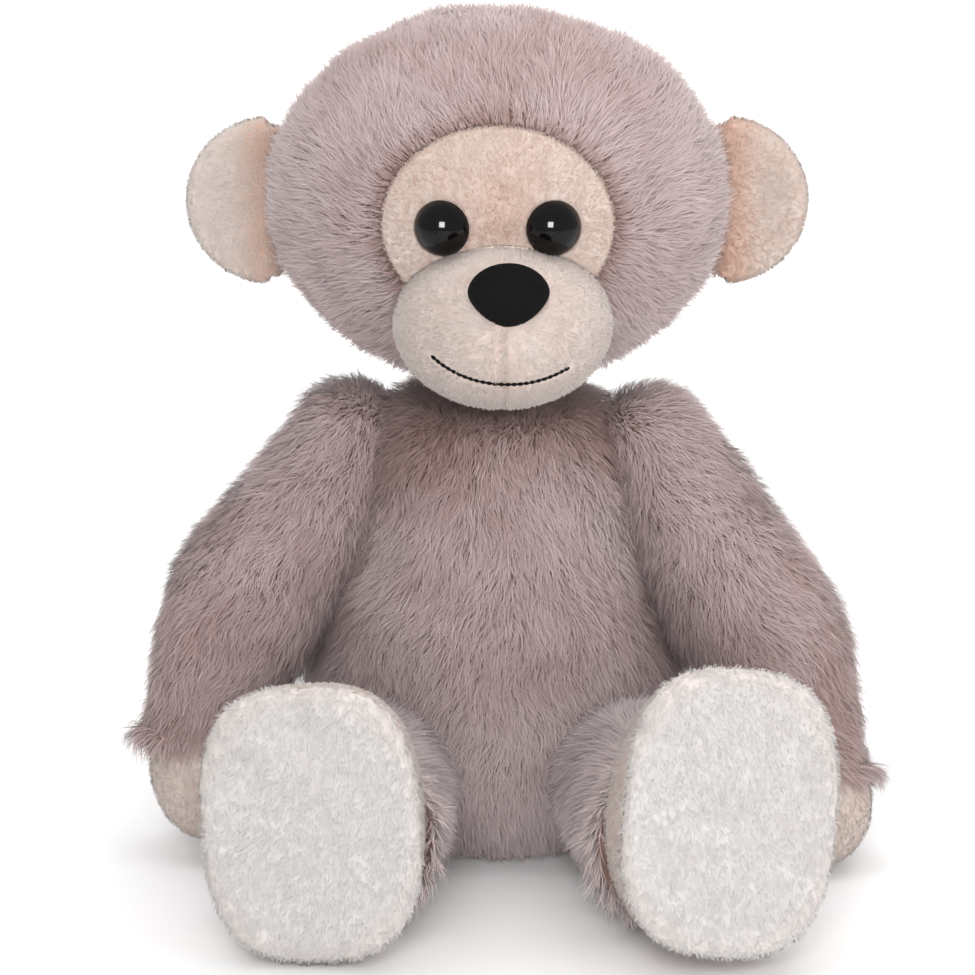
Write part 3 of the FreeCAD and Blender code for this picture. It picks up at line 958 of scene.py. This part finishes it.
def build_arm(side):
    shoulder = np.array(JOINTS[f"shoulder_lift_{side}"]["pos_m"])
    hand = middle(f"hand_{side}")
    down = unit((hand - shoulder)[None])[0]
    cloth = cover(f"arm_cloth_{side}", [f"arm_fur_{side}"], SLEEVE_VOXEL, CLOTH_SINK, end=down)
    points, normal = read(cloth.data)
    points = ripple(points, normal, 0.9 * MM, 20 * MM, 81)
    out = unit(along(np.array([[SIDES[side], 0.0, 0.25]]), down[None]))[0]
    reach = (points - shoulder) @ down / np.linalg.norm(middle(f"arm_fur_{side}") - shoulder) / 2
    beside = (points - shoulder) @ out / (19 * MM)
    elbow = ELBOW_OUT * bump(reach, 0.62, 0.34) * step(beside, 0.0, 0.9)
    cuff = CUFF_DROP * step(reach, 0.75, 0.98) * step(beside, -0.4, 0.9)
    narrow = CUFF_TAPER * step(reach, 0.76, 0.98)[:, None] * along(points - shoulder, down[None])
    write(cloth.data, points + elbow[:, None] * out + cuff[:, None] * down - narrow)
    untinted(cloth)
    length = np.linalg.norm(hand - shoulder)

    def comb(p, n):
        near = 1 - step((p - shoulder) @ down, -14 * MM, 12 * MM)
        return down[None] + near[:, None] * np.array((0.9 * SIDES[side], 0, -0.2))

    def keep(p, n):
        return n @ down < 0.35

    def flat(p):
        return 1 + 0.45 * step((p - shoulder) @ down / length, 0.5, 0.85)

    def tone(p):
        far = (p - shoulder) @ down / length
        return ARM_TONE + 0.12 * lattice_noise(p, 14 * MM, 82) - 0.12 * step(far, 0.3, 0.9)

    fur = long_pile(f"arm_pile_{side}", cloth, comb, keep, tone, 83, rise=flat)
    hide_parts(f"arm_fur_{side}")
    dress(cloth, FUR_CLOTH, f"arm_{side}")
    dress(fur, FUR, f"arm_{side}")
    palm = cover(f"hand_plush_{side}", [f"hand_{side}"], 1.0 * MM, 0)
    points, normal = read(palm.data)
    reach = (points - hand) @ down
    write(palm.data, ripple(points, normal, 0.5 * MM, 10 * MM, 84))
    tint_and_shade(palm, 0.6 * (1 - step(reach, -12 * MM, -3 * MM)))

    def palm_tone(p):
        wrist = 1 - step((p - hand) @ down, -12 * MM, -2 * MM)
        return HAND_TONE - 0.25 * wrist + 0.08 * lattice_noise(p, 8 * MM, 85)

    nap = short_pile(f"hand_nap_{side}", palm, comb, lambda p, n: p[:, 2] > 0.5 * MM, palm_tone, 86)
    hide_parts(f"hand_{side}")
    dress(palm, BEIGE, f"arm_{side}")
    dress(nap, BEIGE_FUZZ, f"arm_{side}")


def square_off(obj, side):
    """Fills a foot's oval outline out toward its corners, most at the sole."""
    centre, axes, half = own_axes(f"foot_sole_{side}")
    points, _ = read(obj.data)
    spot = (points - centre) @ axes.T
    u, v = spot[:, 0] / half[0], spot[:, 1] / half[1]
    size = np.hypot(u, v)
    turn = np.arctan2(v, u)
    full = np.abs(np.cos(turn)) ** CORNER_POWER + np.abs(np.sin(turn)) ** CORNER_POWER
    full = full ** (-1 / CORNER_POWER)
    near = 1 - 0.6 * step(np.abs(spot[:, 2]), 4 * MM, 36 * MM)
    grow = 1 + (full - 1) * step(size, 0.2, 0.95) * near
    spot[:, :2] *= grow[:, None]
    moved = centre + spot @ axes
    moved[:, 2] = np.maximum(moved[:, 2], SOLE_LIFT)
    write(obj.data, moved)


def build_leg(side):
    sign = SIDES[side]
    hip = np.array(JOINTS[f"hip_lift_{side}"]["pos_m"])
    sole = middle(f"foot_sole_{side}")
    forward = unit((sole - hip) * np.array([(1, 1, 0)]))[0]
    cloth = cover(f"leg_cloth_{side}", [f"leg_fur_{side}"], SLEEVE_VOXEL, CLOTH_SINK, end=forward)
    points, normal = read(cloth.data)
    points = ripple(points, normal, 0.9 * MM, 20 * MM, 91)
    ankle = step((points - hip) @ forward, 20 * MM, 64 * MM)[:, None]
    across = along(points - hip, forward[None])
    flare = np.where(across[:, 2:] > 0, ANKLE_FLARE, 0) * np.array((0, 0, 1))
    flare = flare + SIDE_FLARE * np.array((1, 1, 0))
    write(cloth.data, points + across * flare * ankle)
    untinted(cloth)

    def keep(p, n):
        return (p[:, 2] > 0.5 * MM) & (n @ forward < 0.93)

    def tone(p):
        # Painted light: the legs' fur is lighter than the rest to lift the shade they sit in.
        return LEG_LIT_TONE + 0.08 * lattice_noise(p, 14 * MM, 92)

    lay = np.array((0.25 * sign, 0, -1)) - 0.35 * forward
    fur = long_pile(f"leg_pile_{side}", cloth, steady(lay), keep, tone, 93)
    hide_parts(f"leg_fur_{side}")
    dress(cloth, FUR_CLOTH, f"leg_{side}")
    dress(fur, FUR, f"leg_{side}")
    upper = cover(f"foot_plush_{side}", [f"foot_upper_{side}"], 1.2 * MM, 0.4 * MM)
    square_off(upper, side)
    points, _ = read(upper.data)
    tint_and_shade(upper, 0.2 * bump(points[:, 0], sole[0], 100 * MM))
    pad = cover(f"sole_plush_{side}", [f"foot_sole_{side}"], 1.0 * MM, 0)
    square_off(pad, side)
    points, normal = read(pad.data)
    reach = np.linalg.norm((points - sole) / np.array((31 * MM, 60 * MM, 38 * MM)), axis=1)
    turn = np.arctan2(points[:, 2] - sole[2], points[:, 0] - sole[0])
    gather = step(reach, 0.72, 1.0) * (0.5 * np.sin(34 * turn) + 0.5 * lattice_noise(points, 4 * MM, 94))
    height = 0.35 * MM * gather + 0.5 * MM * lattice_noise(points, 16 * MM, 95)
    write(pad.data, points + normal * height[:, None])
    tint_and_shade(pad, 0.25 * step(reach, 0.85, 1.0))

    down = steady((0.15 * sign, 0.0, -1.0))

    def nap_tone(p):
        return FOOT_TONE + 0.07 * lattice_noise(p, 9 * MM, 96)

    def above(p, n):
        return p[:, 2] > 0.8 * MM

    upper_nap = short_pile(f"foot_nap_{side}", upper, down, above, nap_tone, 97, density=1.8e6)
    sole_nap = short_pile(f"sole_nap_{side}", pad, down, above, nap_tone, 98, length=SOLE_LENGTH)
    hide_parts(f"foot_upper_{side}")
    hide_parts(f"foot_sole_{side}")
    dress(upper, BEIGE, f"leg_{side}")
    dress(pad, WHITE, f"leg_{side}")
    dress(upper_nap, BEIGE_FUZZ, f"leg_{side}")
    dress(sole_nap, WHITE_FUZZ, f"leg_{side}")


# Parts that keep their CAD form

def finish_carried():
    """Gives each CAD node that still shows the finish of the first word found in its name."""
    finishes = {
        "washer": (WASHER, "washer_plastic"),
        "eye": (EYE, "eye_plastic"),
        "stuffing": (FIBRE, "fibre_filling"),
        "wadding": (FIBRE, "fibre_filling"),
        "bag": (BAG, "bag_cloth"),
        "neck": (PALE_THREAD, "thread"),
    }
    for name, obj in NODES.items():
        if obj.hide_render:
            continue
        key = next(word for word in finishes if word in name)
        material, slot = finishes[key]
        obj.data.materials.clear()
        obj.data.materials.append(material)
        if key in ("stuffing", "wadding", "bag"):
            smooth(obj)


# Studio

def build_studio():
    floor = bpy.data.meshes.new("floor")
    wide, back, tall, bend = 3.0, 1.6, 2.4, 0.6
    profile = [(-2.5, 0.0), (back - bend, 0.0)]
    for i in range(1, 13):
        a = math.pi / 2 * i / 12
        profile.append((back - bend + bend * math.sin(a), bend - bend * math.cos(a)))
    profile.append((back, tall))
    points = [(x, y, z) for y, z in profile for x in (-wide, wide)]
    faces = [(2 * i, 2 * i + 1, 2 * i + 3, 2 * i + 2) for i in range(len(profile) - 1)]
    floor.from_pydata(points, [], faces)
    ground = smooth(link("floor", floor))
    paper, nodes, links, shader = finish_of("paper", 0.95)
    speck = noise(nodes, links, 6)
    shade = ramp(nodes, [(0.2, (0.86, 0.86, 0.86)), (0.8, (0.90, 0.90, 0.90))])
    links.new(speck.outputs["Fac"], shade.inputs["Fac"])
    links.new(shade.outputs["Color"], shader.inputs["Base Color"])
    shader.inputs["Specular IOR Level"].default_value = 0.1
    ground.data.materials.append(paper)
    world = bpy.data.worlds.new("studio")
    world.use_nodes = True
    world.node_tree.nodes["Background"].inputs["Color"].default_value = (1.0, 1.0, 1.0, 1)
    world.node_tree.nodes["Background"].inputs["Strength"].default_value = 0.55
    bpy.context.scene.world = world
    bpy.context.scene.view_settings.view_transform = "Standard"
    lamp("key", (-0.10, -1.25, 0.85), 0.42, 4.5, (0, 0, 0.12), soft=True)
    lamp("front", (0.1, -1.5, 0.2), 1.3, 15.5, (0, 0, 0.06), soft=True)
    catch = lamp("catch", (-0.12, -1.25, 0.62), 0.46, 26, (0, 0, 0.19))
    catch.visible_diffuse = False
    lamp("fill", (1.1, -0.8, 0.55), 0.9, 5, (0, 0, 0.12), soft=True)
    lamp("backdrop", (0.0, 0.5, 1.6), 2.0, 30, (0, 1.6, 0.6), soft=True)


def lamp(name, place, size, power, aim, soft=False):
    """An area lamp; a soft one doesn't show in the shiny eyes."""
    light = bpy.data.lights.new(name, "AREA")
    light.shape = "SQUARE"
    light.size = size
    light.energy = power
    obj = bpy.data.objects.new(name, light)
    bpy.context.scene.collection.objects.link(obj)
    obj.location = place
    obj.visible_glossy = not soft
    obj.rotation_euler = (Vector(aim) - Vector(place)).to_track_quat("-Z", "Y").to_euler()
    return obj


def build_camera():
    target = Vector((-2.85 * MM, 0, 100.9 * MM))
    angle = math.radians(15)
    reach = 1.2
    data = bpy.data.cameras.new("camera")
    data.sensor_width = 36
    data.lens = 36 * reach / 0.2925
    data.clip_start = 0.05
    data.clip_end = 20
    camera = bpy.data.objects.new("camera", data)
    bpy.context.scene.collection.objects.link(camera)
    camera.location = target + Vector((0, -math.cos(angle), math.sin(angle))) * reach
    camera.rotation_euler = (target - camera.location).to_track_quat("-Z", "Y").to_euler()
    bpy.context.scene.camera = camera


build_head()
build_face()
build_face_seam()
build_mouth()
build_nose()
build_torso()
build_neck()
for side in SIDES:
    build_ear(side)
    build_arm(side)
    build_leg(side)
finish_carried()
build_studio()
build_camera()
